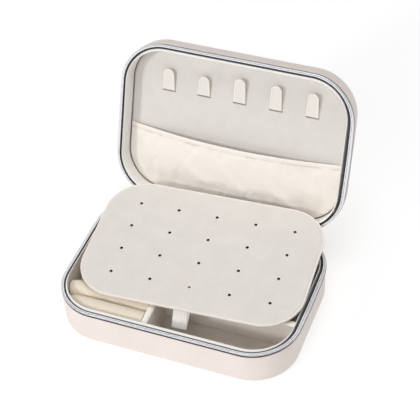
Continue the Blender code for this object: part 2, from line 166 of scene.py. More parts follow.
def add(owner, kind, inputs, **settings):
    """Adds a node with its settings and each input's value or source; gives its outputs."""
    tree = getattr(owner, "node_tree", owner)
    node = tree.nodes.new(kind)
    for key, value in settings.items():
        setattr(node, key, value)
    for key, value in inputs.items():
        if isinstance(value, bpy.types.NodeSocket):
            tree.links.new(value, node.inputs[key])
        else:
            node.inputs[key].default_value = value
    return node.outputs


def new_material(name):
    material = bpy.data.materials.new(name)
    material.use_nodes = True
    material.node_tree.nodes.clear()
    return material


def patterned(name):
    """A new material, and the coordinates that its pattern reads."""
    made = new_material(name)
    return made, add(made, "ShaderNodeTexCoord", {})["Object"]


def surface(material, inputs, relief=None):
    """The shader and output that end every finish; relief is (height, strength, depth)."""
    if relief:
        height, strength, depth = relief
        bump = add(material, "ShaderNodeBump", {
            "Height": height, "Strength": strength, "Distance": depth})
        inputs = {**inputs, "Normal": bump["Normal"]}
    shader = add(material, "ShaderNodeBsdfPrincipled", inputs)
    add(material, "ShaderNodeOutputMaterial", {"Surface": shader["BSDF"]})
    return material


def tinted(material, factor, low, high):
    """A colour between two sRGB codes."""
    mix = add(material, "ShaderNodeMix", {
        "Factor": factor, 6: linear(low), 7: linear(high)}, data_type="RGBA")
    return mix[2]


def leatherette(name, low, high, grain_mm, roughness):
    """Polyurethane leatherette, embossed: pebbles with fine creases and a satin top coat; the creases are
    painted darker as shade.
    """
    made, place = patterned(name)
    wander = add(made, "ShaderNodeTexNoise", {"Vector": place, "Scale": 160.0, "Detail": 2.0})
    bent = add(made, "ShaderNodeMix", {
        "Factor": 0.0012, 4: place, 5: wander["Color"]}, data_type="VECTOR")
    pebbles = add(made, "ShaderNodeTexVoronoi", {
        "Vector": bent[1], "Scale": 1000.0 / grain_mm}, feature="DISTANCE_TO_EDGE")
    crease = add(made, "ShaderNodeMapRange", {
        "Value": pebbles["Distance"], "From Min": 0.0, "From Max": 0.22}, interpolation_type="SMOOTHSTEP")
    cloudy = add(made, "ShaderNodeTexNoise", {"Vector": place, "Scale": 45.0, "Detail": 4.0})
    # Painted shade: the colour is darkened in the creases, over a cloudy tone.
    crease_shade_and_cloud = add(made, "ShaderNodeMath", {
        0: crease["Result"], 1: 0.45, 2: cloudy["Fac"]}, operation="MULTIPLY_ADD")
    gloss = add(made, "ShaderNodeMapRange", {
        "Value": cloudy["Fac"], "To Min": roughness - 0.06, "To Max": roughness + 0.08})
    return surface(made, {
        "Base Color": tinted(made, crease_shade_and_cloud[0], low, high), "IOR": 1.5, "Roughness": gloss["Result"],
        "Sheen Weight": 0.08, "Sheen Roughness": 0.4}, (crease["Result"], 0.22, 0.00012))


def crisp_flats(mesh):
    """Keeps flat faces flat to the eye where a small curve meets them."""
    bm = bmesh.new()
    bm.from_mesh(mesh)
    for edge in bm.edges:
        flat = [abs(face.normal.z) > 0.99995 for face in edge.link_faces]
        if any(flat) and not all(flat):
            edge.smooth = False
    bm.to_mesh(mesh)
    bm.free()


def rounded_edge(centre_inset, centre_z, radius, start, end, steps=6):
    """(inset, height) pairs round an edge; 0 degrees points out of the wall, 90 up."""
    turns = [radians(start + (end - start) * step / steps) for step in range(steps + 1)]
    return [(centre_inset - radius * cos(turn), centre_z + radius * sin(turn)) for turn in turns]


def wrapped_shell(name, closed_z, open_z, edge_radius, belly):
    """A wall and a floor: up the outside with a slight belly, over the lip and down inside."""
    up = 1 if open_z > closed_z else -1
    height = abs(open_z - closed_z)
    around = outline(half_x, half_y, corner_radius)
    skin = [(corner_radius * 0.9, 0.0), (corner_radius * 0.5, 0.0)]
    skin += rounded_edge(edge_radius, edge_radius, edge_radius, -90, 0, 10)
    for share in (0.25, 0.5, 0.75, 0.92):
        level = edge_radius + (height - edge_radius) * share
        skin.append((-belly * sin(pi * share), level))
    skin += rounded_edge(0.0006, height - 0.0006, 0.0006, 0, 90, 4)
    skin += [(board_wall, height), (board_wall, height * 0.5), (board_wall, board_wall),
             (corner_radius * 0.9, board_wall)]
    rings = [ring(around, corner_radius * 0.9, closed_z, 0.35)]
    rings += [ring(around, inset, closed_z + up * level) for inset, level in skin]
    rings.append(ring(around, corner_radius * 0.9, closed_z + up * board_wall, 0.35))
    return loft(name, rings)


blush = leatherette("blush_pu_leatherette", "E2D5CD", "EEE3DC", grain_mm=0.75,
                    roughness=0.46)
base_shell = wrapped_shell("base_shell_wrap", shell_low.z, shell_high.z - 0.0002,
                           edge_radius=0.003, belly=0.00015)
fit(base_shell, "base", blush, "blush_leatherette", "base_shell")


# ---- Base lining ----
# Greige microsuede glued into the tray: a padded lip inside the zip, the walls and the
# floor.  Its nap is short and matt, with cloudy lighter and darker patches.

lining_outset = 0.0037
tray_half_x = half_x - 0.0046
tray_half_y = half_y - 0.0064
tray_radius = corner_radius - 0.0055
rim_clearance = 0.00015
floor_z = 0.0035


def microsuede(name, low, high, sheen):
    """Brushed microfibre: fine speckle, soft patches where the nap lies the other way."""
    made, place = patterned(name)
    patches = add(made, "ShaderNodeTexNoise", {
        "Vector": place, "Scale": 70.0, "Detail": 3.0, "Distortion": 0.6})
    fibres = add(made, "ShaderNodeTexNoise", {
        "Vector": place, "Scale": 1300.0, "Detail": 3.0, "Roughness": 0.7})
    speckle = add(made, "ShaderNodeMapRange", {
        "Value": fibres["Fac"], "From Min": 0.3, "From Max": 0.7, "To Min": -0.25, "To Max": 0.35})
    mixed = add(made, "ShaderNodeMath", {
        0: patches["Fac"], 1: speckle["Result"]}, operation="ADD", use_clamp=True)
    return surface(made, {
        "Base Color": tinted(made, mixed[0], low, high), "Roughness": 0.92, "Sheen Weight": sheen,
        "Sheen Roughness": 0.5, "IOR": 1.45}, (fibres["Fac"], 0.35, 0.0002))


outer = outline(half_x, half_y, corner_radius)
inner = outline(tray_half_x, tray_half_y, tray_radius)


def padded_lip(first, second, z, rise):
    """Rings over a rounded lip from one outline to another."""
    turns = [pi * step / 12 for step in range(1, 12)]
    return [[Vector((*a.lerp(b, (1 - cos(turn)) / 2), z + rise * sin(turn)))
             for (a, _), (b, _) in zip(first, second)] for turn in turns]


outer_lining = [(point - out * lining_outset, out) for point, out in outer]
lip_rise = 0.0009
lip_z = rim_z - rim_clearance - lip_rise
lining_rings = [ring(outer_lining, 0, board_wall + 0.0003), ring(outer_lining, 0, lip_z)]
lining_rings += padded_lip(outer_lining, inner, lip_z, lip_rise)
lining_rings += [ring(inner, 0, lip_z), ring(inner, 0, (lip_z + floor_z) / 2)]
for inset, level in rounded_edge(0.0015, 0.0015, 0.0015, 0, -90, 5):
    lining_rings.append(ring(inner, inset, floor_z + level))
lining_rings += [ring(inner, tray_radius * 0.8, floor_z),
                 ring(inner, tray_radius * 0.9, floor_z, 0.4)]
greige = microsuede("greige_microsuede_lining", "D6CDC3", "E7E0D8", 0.35)
base_lining = loft("base_lining_suede", lining_rings)
fit(base_lining, "base", greige, "greige_microsuede", "base_lining")
# Painted light: a paler copy of the lining suede for the top of the lip, where light falls.
lip_lit_suede = microsuede("microsuede_lip_painted_light", "EEEBE7", "F8F6F3", 0.35)
faced(base_lining, lip_lit_suede, lambda face: face.center.z > lip_z - 0.0001)


# ---- Zip on the base rim ----
# A silver coil zip runs round both sides and the front.  Its woven tape is coated with silver
# foil and stands at the outside; its edge and foot and the strip under the coil are painted
# near black as the shade in the gaps.  The nylon coil, silver too, is sewn on just inside it.

zip_seat = 0.0038
tape_width = 0.0011
coil_inset = tape_width + 0.0001
coil_width = 0.0010
bed_drop = 0.0013
tape_gap = 0.0008
fold_line = 0.0004
seam_rise, seam_half, seam_depth = 0.0021, 0.0003, 0.0004
foil_drop, coil_radius = 0.0006, 0.0005
# Faces of the tape's section painted near black as shade: its edge and its foot.
shade_painted_sides = (0, 1, 2, 18)
fan_left, fan_right, fan_end = (0.0001, 0.0005), (0.0014, 0.0012), 0.012
shell_gap = 0.0003
coil_pitch = 0.0011
coil_core = ((0.0003, 0.0006), (0.0007, 0.0006), (0.0007, 0.0), (0.0003, 0.0))
spine_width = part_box("spine_lower_leaf")[1].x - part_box("spine_lower_leaf")[0].x


def silver(name, code, weave_mm, metallic):
    """Metallised yarn or foil: bright, a little soft, with the ridges of the thread below."""
    made, place = patterned(name)
    threads = add(made, "ShaderNodeTexNoise", {
        "Vector": place, "Scale": 1000.0 / weave_mm, "Detail": 1.0})
    wear = add(made, "ShaderNodeTexNoise", {"Vector": place, "Scale": 120.0, "Detail": 3.0})
    gloss = add(made, "ShaderNodeMapRange", {"Value": wear["Fac"], "To Min": 0.28, "To Max": 0.46})
    return surface(made, {
        "Base Color": linear(code), "Metallic": metallic, "Roughness": gloss["Result"]
    }, (threads["Fac"], 0.15, 0.0001))


def dark_shade_weave(name, low, high, thread_mm):
    """A near-black matt weave that paints deep shade: fine crossing threads, darker in the gaps."""
    made, place = patterned(name)
    threads = add(made, "ShaderNodeTexVoronoi", {"Vector": place, "Scale": 1000.0 / thread_mm})
    return surface(made, {
        "Base Color": tinted(made, threads["Distance"], low, high), "Roughness": 0.85
    }, (threads["Distance"], 0.3, 0.0001))


# Painted shade: near-black tape put where the zip's gaps fall into shade.
painted_shade_tape = dark_shade_weave("dark_painted_shade_tape", "1C1B1D", "3A393C", thread_mm=0.4)
silver_tape = silver("silver_foil_tape", "F5F5F9", weave_mm=0.35, metallic=0.45)
silver_coil = silver("silver_nylon_coil", "F7F7FA", weave_mm=0.3, metallic=0.25)


def zip_run():
    """The zip's path, down the left side, along the front and back up the right side."""
    back = Vector((0, 1))
    first = corner_steps + side_steps
    ends = [(Vector((side * spine_width / 2, half_y)), back) for side in (-1, 1)]
    return [ends[0]] + outer[first:] + outer[:corner_steps + 1] + [ends[1]]


def sprung(point, out, inset):
    """A place on the rim; the open zip fans out most in the middle of each side."""
    along = point.y / (half_y - fan_end)
    share = max(0.0, 1 - along * along) * (abs(point.x) > half_x - corner_radius)
    shift, fan = fan_left if point.x < 0 else fan_right
    moved = share * (shift + fan * max(0.0, 1 - inset / tape_width))
    return point - out * (inset - moved)


def along_run(section):
    """A cross-section of (inset, height) pairs carried along the zip's path."""
    return [[Vector((*sprung(point, out, inset), z)) for inset, z in section]
            for point, out in zip_run()]


def tape_section(low, high):
    """A strip standing on edge, folded over at high, with its seam line along the outside."""
    half = tape_width / 2
    side = 1 if high > low else -1
    fold = [(half - half * cos(pi * step / 16),
             high - side * (half * (1 - sin(pi * step / 16)) + fold_line * (step == 8)))
            for step in range(17)]
    foot, seam, half_way = low + side * tape_gap, low + side * seam_rise, side * seam_half
    return fold + [(tape_width, foot), (0.0, foot), (0.0, seam - half_way),
                   (seam_depth, seam - half_way / 3), (seam_depth, seam + half_way / 3),
                   (0.0, seam + half_way)]


def coil_bed(low, high):
    """The woven strip that the coil is sewn on, from the foil's edge to the lining, painted near black as
    the groove's shade.
    """
    room = 0.00005
    start, end = tape_width + room, lining_outset - room
    side = 1 if high > low else -1
    ledge, sole = low + side * (tape_gap - room), low - side * shell_gap
    return [(shell_gap, sole), (end, sole), (end, high), (start, high), (start, ledge),
            (shell_gap, ledge)]


def new_tree(name, inputs, output):
    """An empty Geometry Nodes tree with its named inputs and one output."""
    tree = bpy.data.node_groups.new(name, "GeometryNodeTree")
    for label, kind in inputs:
        tree.interface.new_socket(label, in_out="INPUT", socket_type="NodeSocket" + kind)
    tree.interface.new_socket(output, in_out="OUTPUT", socket_type="NodeSocketGeometry")
    return tree, add(tree, "NodeGroupInput", {})


def finish_tree(tree, geometry, finish):
    """Ends a tree with its material."""
    looks = add(tree, "GeometryNodeSetMaterial", {"Geometry": geometry, "Material": finish})
    add(tree, "NodeGroupOutput", {0: looks["Geometry"]})
    return tree


def copies(tree, points, original, how):
    """Real copies of an object on points."""
    given = add(tree, "GeometryNodeObjectInfo", {"Object": original})
    placed = add(tree, "GeometryNodeInstanceOnPoints", {
        "Points": points, "Instance": given["Geometry"], **how})
    return add(tree, "GeometryNodeRealizeInstances", {"Geometry": placed["Instances"]})["Geometry"]


def coil_tree():
    """Turns of the coil: one bead instanced at even steps along the path, across it."""
    tree, given = new_tree("zip_coil_turns", (("Path", "Geometry"), ("Pitch", "Float"),
                                              ("Turn", "Object"), ("Finish", "Material")), "Turns")
    steps = add(tree, "GeometryNodeResampleCurve", {
        "Curve": given["Path"], "Length": given["Pitch"]}, mode="LENGTH")
    tangent = add(tree, "GeometryNodeInputTangent", {})
    turned = add(tree, "FunctionNodeAlignRotationToVector", {"Vector": tangent["Tangent"]}, axis="X")
    turns = copies(tree, steps["Curve"], given["Turn"], {"Rotation": turned["Rotation"]})
    return finish_tree(tree, turns, given["Finish"])


repeat_along = coil_tree()


def applied(piece):
    """The plain mesh that a piece's modifiers make of it; the modifiers are removed."""
    graph = bpy.context.evaluated_depsgraph_get()
    mesh = bpy.data.meshes.new_from_object(piece.evaluated_get(graph))
    piece.modifiers.clear()
    return mesh


def grown(carrier, tree, values):
    """The plain mesh that a tree makes of an object, with its inputs set by name."""
    step = carrier.modifiers.new("rule", "NODES")
    step.node_group = tree
    for item in tree.interface.items_tree:
        if item.in_out == "INPUT" and item.name in values:
            step[item.identifier] = values[item.name]
    return applied(carrier)


def repeated(name, path, pitch, turn, finish):
    """The turns of a run as one plain mesh."""
    curve = bpy.data.curves.new(name, "CURVE")
    curve.dimensions = "3D"
    spline = curve.splines.new("POLY")
    spline.points.add(len(path) - 1)
    for point, place in zip(spline.points, path):
        point.co = (*place, 1)
    carrier = linked(name + "_path", curve)
    mesh = grown(carrier, repeat_along, {"Pitch": pitch, "Turn": turn, "Finish": finish})
    mesh.name = name
    drop(carrier)
    mesh.shade_smooth()
    return linked(name, mesh)


def bead(name, length, width, height):
    """One rounded turn of thread or coil, lying across a path that runs along X."""
    bm = bmesh.new()
    bmesh.ops.create_uvsphere(bm, u_segments=8, v_segments=4, radius=0.5)
    bmesh.ops.scale(bm, vec=(width, length, height), verts=bm.verts)
    return as_object(name, bm, pi)


def joined(name, first, second):
    """Two meshes as one piece."""
    bm = bmesh.new()
    bm.from_mesh(first.data)
    bm.from_mesh(second.data)
    drop(first, second)
    return as_object(name, bm)


coil_turn = bead("coil_turn", length=0.0014, width=coil_pitch * 0.98, height=0.0010)


def zip_half(label, seat_z, edge_z, place):
    """Tape and coil of one rim, from where they are sewn in up to where the halves meet."""
    side = 1 if edge_z > seat_z else -1
    section = tape_section(seat_z, edge_z - side * foil_drop)
    tape = loft(label + "_zip_tape_foil", along_run(section))
    bed = loft(label + "_zip_bed", along_run(coil_bed(seat_z, edge_z - side * bed_drop)))
    level = edge_z - side * (rim_clearance + coil_radius)
    path = [Vector((*sprung(point, out, coil_inset + coil_width / 2), level))
            for point, out in zip_run()]
    turns = repeated("turns", path, coil_pitch, coil_turn, silver_coil)
    core = loft("core", along_run([(coil_inset + across, level - side * down)
                                   for across, down in coil_core]))
    coil = joined(label + "_zip_coil", core, turns)
    for piece in (tape, bed, coil):
        piece.data.transform(place)
    # The bed is painted near black as the shade between the coil and the lining.
    bed.data.materials.append(painted_shade_tape)
    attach(bed, label)
    fit(tape, label, silver_tape, "silver_zip", label + "_zip_tape")
    # The foil's edge and foot are painted near black as the shade along them.
    faced(tape, painted_shade_tape, lambda face: face.index % len(section) in shade_painted_sides)
    fit(coil, label, silver_coil, "silver_zip", label + "_zip_teeth")


zip_half("base", rim_z - zip_seat, rim_z, Matrix())


# ---- Ring rolls ----
# Eight foam rolls covered in cream velvet lie side by side on the left; a ring is pushed
# into the cleft between two.  They are crowned, and their ends are cut to the tray's corners.

roll_room = 0.0003
roll_end, _, roll_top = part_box("ring_roll_4")[1]
roll_count = 8
roll_pitch = 2 * tray_half_y / roll_count
roll_columns = 48
roll_waver = 0.0005
end_gaps = (0.0012, 0.0050)
end_droops = (0.0035, 0.0120)


def wall_at(y, across, along, radius):
    """How far from the middle a wall with round corners is at y."""
    over = min(radius, max(0.0, abs(y) - (along - radius)))
    return across - radius + sqrt(radius ** 2 - over ** 2)


def velvet(name, low, high):
    """Short cut pile: it darkens where it is pressed and pales at a glancing view."""
    made, place = patterned(name)
    pile = add(made, "ShaderNodeTexNoise", {"Vector": place, "Scale": 1500.0, "Detail": 2.0})
    brushed = add(made, "ShaderNodeTexNoise", {
        "Vector": place, "Scale": 90.0, "Detail": 3.0, "Distortion": 1.0})
    mixed = add(made, "ShaderNodeMath", {
        0: pile["Fac"], 1: 0.5, 2: brushed["Fac"]}, operation="MULTIPLY_ADD", use_clamp=True)
    shifted = add(made, "ShaderNodeMath", {0: mixed[0], 1: 0.25}, operation="SUBTRACT", use_clamp=True)
    return surface(made, {
        "Base Color": tinted(made, shifted[0], low, high), "Roughness": 0.95, "Sheen Weight": 0.6,
        "Sheen Roughness": 0.35, "Sheen Tint": linear("FFF6E6")}, (pile["Fac"], 0.4, 0.0002))


cream = velvet("cream_velvet_pile", "E4D7C2", "F1E7D6")


def roll_section(middle, x, end_share, droop):
    """Cross-section of a roll at x; its sewn end at the wall is pulled down and rounded."""
    half = roll_pitch / 2 - roll_room
    sag = roll_waver * abs(end_share) ** 6 + droop * max(0.0, -end_share) ** 7
    dent = roll_waver * noise.noise(Vector((x * 60, middle * 90, 3.0)))
    points = []
    for step in range(25):
        turn = pi * step / 24
        squared = abs(cos(turn)) ** 0.85 * (1 if cos(turn) > 0 else -1)
        points.append((middle + half * squared,
                       roll_top - half - sag + (half + dent) * sin(turn) ** 0.9))
    foot = floor_z + roll_room
    points += [(middle - half, foot + 0.0008), (middle - half * 0.92, foot),
               (middle + half * 0.92, foot), (middle + half, foot + 0.0008)]
    return points


for index in range(roll_count):
    middle = -tray_half_y + (index + 0.5) * roll_pitch
    rings = []
    for column in range(roll_columns + 1):
        share = column / roll_columns
        spread = (1 - cos(pi * share)) / 2
        section = []
        flat = roll_section(middle, spread * 0.1, 2 * spread - 1, end_droops[index > 1])
        for y, z in flat:
            inner_y = max(-tray_half_y + roll_room, min(tray_half_y - roll_room, y))
            wall = wall_at(inner_y, tray_half_x, tray_half_y, tray_radius)
            start = roll_room + end_gaps[index > 1] - wall
            section.append(Vector((start + (roll_end - start) * spread, inner_y, z)))
        rings.append(section)
    roll = loft(f"ring_roll_{index + 1}_velvet", rings)
    fit(roll, "base", cream, "cream_velvet", f"ring_roll_{index + 1}")


# ---- Dividers ----
# Stiff boards between thin foam, covered in microsuede; their top edges are soft and round.
# One runs from front to back beside the rolls, and two part the right side.

divider_crown = 0.62


def divider(name, node, long_axis):
    """A padded board that fills the box of its node, with a rounded top edge; its top is painted paler
    than its sides, as light.
    """
    low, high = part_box(node)
    other = 1 - long_axis
    steps, half = 30, (high[other] - low[other]) / 2
    middle = (high[other] + low[other]) / 2
    rings = []
    for step in range(steps + 1):
        run = low[long_axis] + (high[long_axis] - low[long_axis]) * step / steps
        wave = 0.00012 * noise.noise(Vector((run * 70, middle * 50, 1.5)))
        points = []
        for turn in (pi * part / 10 for part in range(11)):
            points.append((middle + (half + wave) * cos(turn),
                           high.z - half * divider_crown * (1 - sin(turn))))
        points += [(middle - half, low.z), (middle + half, low.z)]
        placed = []
        for side, z in points:
            spot = Vector((0, 0, z))
            spot[long_axis], spot[other] = run, side
            placed.append(spot)
        rings.append(placed)
    made = loft(name, rings)
    fit(made, "base", divider_top_lit_suede, "greige_microsuede", node)
    faced(made, greige, lambda face: face.center.z < high.z - half)


# Painted light: a paler copy of the lining suede for the dividers' lit tops.
divider_top_lit_suede = microsuede("microsuede_divider_top_painted_light", "F8EFE7", "FFFAF5", 0.4)
divider("long_divider_pad", "long_divider", 1)
divider("cross_divider_pad", "cross_divider", 0)
divider("rear_divider_pad", "rear_divider", 1)


# ---- Lid shell, lining and zip ----
# The lid is made as the base is, lower and with a fuller edge.  Its wall is lined in the
# same microsuede, down to the seam where the padded panel starts.

open_turn = radians(joints["lid_hinge"]["range_deg"][1])
lid_place = (Matrix.Translation(hinge) @ Matrix.Rotation(-open_turn, 4, "X")
             @ Matrix.Translation((0, -half_y, 0)))
lid_height = 0.0252
panel_depth = 0.0177
wall_inset = 0.0048
lid_shell = wrapped_shell("lid_shell_wrap", lid_height, open_z=0.0043,
                          edge_radius=0.0084, belly=0.0003)
lid_shell.data.transform(lid_place)
fit(lid_shell, "lid", blush, "blush_leatherette", "lid_shell")
zip_half("lid", zip_seat, 0.0, lid_place)

lid_lining_outset = 0.0041
lid_outer_lining = [(point - out * lid_lining_outset, out) for point, out in outer]
lid_inner = [(point - out * wall_inset, out) for point, out in outer]
lid_rings = [ring(lid_outer_lining, 0, panel_depth - 0.0005),
             ring(lid_outer_lining, 0, rim_clearance + lip_rise)]
lid_rings += padded_lip(lid_outer_lining, lid_inner, rim_clearance + lip_rise, -lip_rise)
lip_bulge_side, lip_bulge_end, lip_depth = 0.0005, 0.0018, 0.0036
for step in range(1, 9):
    turn = pi * step / 8
    height = rim_clearance + lip_rise + lip_depth / 2 * (1 - cos(turn))
    bulged = [(point, out * (lip_bulge_side * out.x ** 2 + lip_bulge_end * out.y ** 2))
              for point, out in lid_inner]
    lid_rings.append(ring(bulged, sin(turn) ** 0.7, height))
lid_rings += [ring(lid_inner, 0, panel_depth * 0.5),
              ring(lid_inner, 0, panel_depth - 0.0005)]
pale_greige = microsuede("pale_greige_microsuede", "D8D4CE", "E4E0DB", 0.35)
lid_lining = loft("lid_wall_suede", lid_rings, looped=True)
lid_lining.data.transform(lid_place)
# The lid's lining takes the same paler copy, painted light on its lip.
fit(lid_lining, "lid", lip_lit_suede, "greige_microsuede", "lid_lining")


# ---- Lid panel ----
# A board padded with thin foam and covered in pale microsuede.  It dips into the seam along
# the wall, and five slits take the necklace tabs.

tab_count = 5
tab_pitch = 0.033
tab_width = 0.0112
tab_root_y = -0.027
tab_raises = (0.0002, 0.0012, 0.0010, 0.0012, 0.0016)
slit_reach, slit_gap, slit_depth, slit_shift = 0.0006, 0.0020, 0.0070, 0.0009
panel_skin = [(0.0040, lid_height - board_wall - 0.0003), (0.0049, panel_depth + 0.0022),
              (0.0050, panel_depth + 0.0012), (0.0054, panel_depth + 0.0006),
              (0.0062, panel_depth + 0.0002), (0.0078, panel_depth + 0.00005),
              (0.0110, panel_depth), (corner_radius * 0.8, panel_depth)]
panel = loft("lid_panel_pad", [ring(outer, inset, z) for inset, z in panel_skin])
slits = bmesh.new()
for index in range(tab_count):
    middle = Vector(((index - (tab_count - 1) / 2) * tab_pitch,
                     tab_root_y - tab_raises[index] + slit_shift, panel_depth))
    size = Vector((tab_width + 2 * slit_reach, slit_gap, slit_depth))
    cut = bmesh.ops.create_cube(slits, size=1)["verts"]
    bmesh.ops.scale(slits, vec=size, verts=cut)
    bmesh.ops.translate(slits, vec=middle, verts=cut)
slit_cutter = as_object("slit_cutter", slits)


def cut_out(piece, cutter):
    """Cuts a shape out of a piece for good."""
    step = piece.modifiers.new("cut", "BOOLEAN")
    step.operation, step.solver, step.object = "DIFFERENCE", "EXACT", cutter
    piece.data = applied(piece)
    piece.data.set_sharp_from_angle(angle=radians(40))
    crisp_flats(piece.data)
    drop(cutter)


cut_out(panel, slit_cutter)
panel.data.transform(lid_place)
fit(panel, "lid", pale_greige, "greige_microsuede", "lid_panel", "lid_padding")


# ---- Necklace tabs ----
# Five tabs of ivory leatherette, folded double and pressed flat, with a round end.  The
# root goes into its slit, and the free end springs off the panel.

ivory = leatherette("ivory_pu_leatherette", "EFE9DD", "F9F5ED", grain_mm=0.55,
                    roughness=0.42)
tab_field = microsuede("pressed_ivory_suede", "E6E2D9", "F0ECE4", 0.3)
tab_lengths = (0.0200, 0.0182, 0.0230, 0.0230, 0.0222)
tab_taper = 0.16
tab_thickness = 0.0016
tab_lift = radians(8)
tab_rows = 60
tab_columns = 48
tab_end_radius = 0.0050
press_inset, press_depth, press_width = 0.0013, 0.0004, 0.0004


def tab_at(run, length):
    """Half the tab's width at a distance from its root, and how far that is into its end."""
    return (tab_width / 2 * (1 - tab_taper * run / length),
            max(0.0, run - (length - tab_end_radius)))


def from_tab_edge(aside, half, past):
    """How far a place on the tab is from its edge."""
    return half * (1 - sqrt((aside / half) ** 2 + (past / tab_end_radius) ** 2))


def tab_ring(x, root_y, length, run):
    """The tab's section at a distance from its root, raised along its edge."""
    half, past = tab_at(run, length)
    end_share = sqrt(max(1 - (past / tab_end_radius) ** 2, 1e-6))
    reach = half * end_share
    thick = tab_thickness * (0.75 + 0.25 * min(1.0, 4 * end_share))
    lift = run * sin(tab_lift) + 0.0006 * (run / length) ** 2
    middle = panel_depth - 0.0001 - lift - thick / 2
    front, back = [], []
    for part in range(tab_columns + 1):
        across = sin(pi * (part / tab_columns - 0.5))
        round_off = thick / 2 * (1 - abs(across) ** 12) ** 0.5
        sunk = min(1.0, max(0.0, (from_tab_edge(reach * across, half, past)
                                  - press_inset) / press_width))
        dip = press_depth * sunk * sunk * (3 - 2 * sunk)
        for line, level in ((front, middle - round_off + dip), (back, middle + round_off)):
            line.append(Vector((x + reach * across, root_y - run * cos(tab_lift), level)))
    return front + back[-2:0:-1]


def pressed(x, root_y, length, face):
    """Whether a face lies in the tab's pressed field."""
    run = (root_y - face.center.y) / cos(tab_lift)
    inside = from_tab_edge(face.center.x - x, *tab_at(run, length)) > press_inset
    return inside and face.normal.z < -0.5


for index, (length, above) in enumerate(zip(tab_lengths, tab_raises)):
    x = (index - (tab_count - 1) / 2) * tab_pitch
    root_y = tab_root_y - above
    runs = [length * sin(pi / 2 * row / tab_rows) - 0.0002 for row in range(tab_rows + 1)]
    tab = loft(f"necklace_tab_{index + 1}", [tab_ring(x, root_y, length, run) for run in runs])
    fit(tab, "lid", ivory, "ivory_leatherette", f"necklace_hook_{index + 1}")
    faced(tab, tab_field, lambda face: pressed(x, root_y, length, face))
    tab.data.transform(lid_place)


# ---- Lid pocket ----
# Cream satin, cut a little too wide and sewn down at both sides and along the bottom, so
# that it stands off the panel and falls into soft folds under its gathered mouth.

pocket_margin = 0.0012
pocket_half_x = half_x - wall_inset - pocket_margin
pocket_half_y = half_y - wall_inset - pocket_margin
pocket_radius = corner_radius - wall_inset - pocket_margin
pocket_top = 0.0095
pocket_sag = 0.004
pocket_bulge = 0.0068
pocket_columns, pocket_rows = 110, 48
satin_thickness = 0.0005


def pocket_point(across, down):
    """The pocket as it is first laid: bowed out along the mouth, flat at the bottom."""
    bow = 1 - across * across
    top = pocket_top + pocket_sag * bow
    y = top + (pocket_half_y - 0.0003 - top) * sin(down * pi / 2)
    wall = wall_at(y, pocket_half_x, pocket_half_y, pocket_radius)
    bulge = pocket_bulge * bow * cos(down * pi / 2)
    return Vector((across * wall, y, panel_depth - 0.0008 - bulge))


def satin(name, low, high):
    """Woven satin: the long floats give a soft streaky sheen, finer than they can be drawn."""
    made, place = patterned(name)
    long_way = add(made, "ShaderNodeMapping", {"Vector": place, "Scale": (260.0, 2400.0, 2400.0)})
    floats = add(made, "ShaderNodeTexNoise", {"Vector": long_way["Vector"], "Scale": 1.0, "Detail": 2.0})
    soft = add(made, "ShaderNodeTexNoise", {"Vector": place, "Scale": 60.0, "Detail": 2.0})
    mixed = add(made, "ShaderNodeMath", {
        0: floats["Fac"], 1: 0.4, 2: soft["Fac"]}, operation="MULTIPLY_ADD", use_clamp=True)
    return surface(made, {
        "Base Color": tinted(made, mixed[0], low, high), "Roughness": 0.5, "Sheen Weight": 0.3,
        "Sheen Roughness": 0.3, "Sheen Tint": linear("FFF8EE")}, (floats["Fac"], 0.12, 0.0001))


cream_satin = satin("cream_satin_weave", "EDE3D8", "F7F0E8")


def cloth_grid(name, point, columns, rows):
    bm = bmesh.new()
    grid = [[bm.verts.new(point(2 * column / columns - 1, row / rows))
             for column in range(columns + 1)] for row in range(rows + 1)]
    for row in range(rows):
        for column in range(columns):
            bm.faces.new((grid[row][column], grid[row][column + 1],
                          grid[row + 1][column + 1], grid[row + 1][column]))
    return as_object(name, bm, pi)


def settled(piece, sewn, growth, frames, most):
    """Lets cloth that is a little too large for its edges buckle, and keeps it in its room."""
    laid = [vertex.co.copy() for vertex in piece.data.vertices]
    held = piece.vertex_groups.new(name="sewn")
    for weight, members in sewn.items():
        held.add(members, weight, "REPLACE")
    cloth = piece.modifiers.new("settle", "CLOTH")
    stiffness = {"tension_stiffness": 20, "compression_stiffness": 20, "shear_stiffness": 8,
                 "bending_stiffness": 0.4}
    cut_large = {"shrink_min": -growth, "shrink_max": -growth}
    rules = {"vertex_group_mass": "sewn", "quality": 5, "mass": 0.08, **stiffness, **cut_large}
    for key, value in rules.items():
        setattr(cloth.settings, key, value)
    cloth.settings.effector_weights.gravity = 0
    cloth.collision_settings.use_collision = False
    cloth.point_cache.frame_end = frames
    scene = bpy.context.scene
    for number in range(1, frames + 1):
        scene.frame_set(number)
    mesh = applied(piece)
    scene.frame_set(1)
    for vertex, start in zip(mesh.vertices, laid):
        move = vertex.co - start
        if move.length > most:
            move *= most / move.length
        vertex.co = start + move
        vertex.co.z = min(vertex.co.z, panel_depth - 0.0006)
    piece.data = mesh
    piece.vertex_groups.clear()


pocket = cloth_grid("lid_pocket_satin", pocket_point, pocket_columns, pocket_rows)
for vertex in pocket.data.vertices:
    spot = vertex.co * 40
    vertex.co.z += 0.0003 * noise.noise(Vector((spot.x + 0.6 * spot.y, spot.y, 5.0)))
width = pocket_columns + 1
edge = [row * width + side for row in range(pocket_rows + 1) for side in (0, pocket_columns)]
edge += [pocket_rows * width + column for column in range(width)]
mouth = list(range(1, pocket_columns))
settled(pocket, {1.0: edge, 0.9: mouth}, growth=0.007, frames=24, most=0.0010)


def thickened(piece, thickness):
    """Gives cloth its thickness, and rounds its folds."""
    skin = piece.modifiers.new("thickness", "SOLIDIFY")
    skin.thickness = thickness
    skin.offset = 0
    fine = piece.modifiers.new("fine", "SUBSURF")
    fine.levels = fine.render_levels = 1
    piece.data = applied(piece)
    piece.data.shade_smooth()


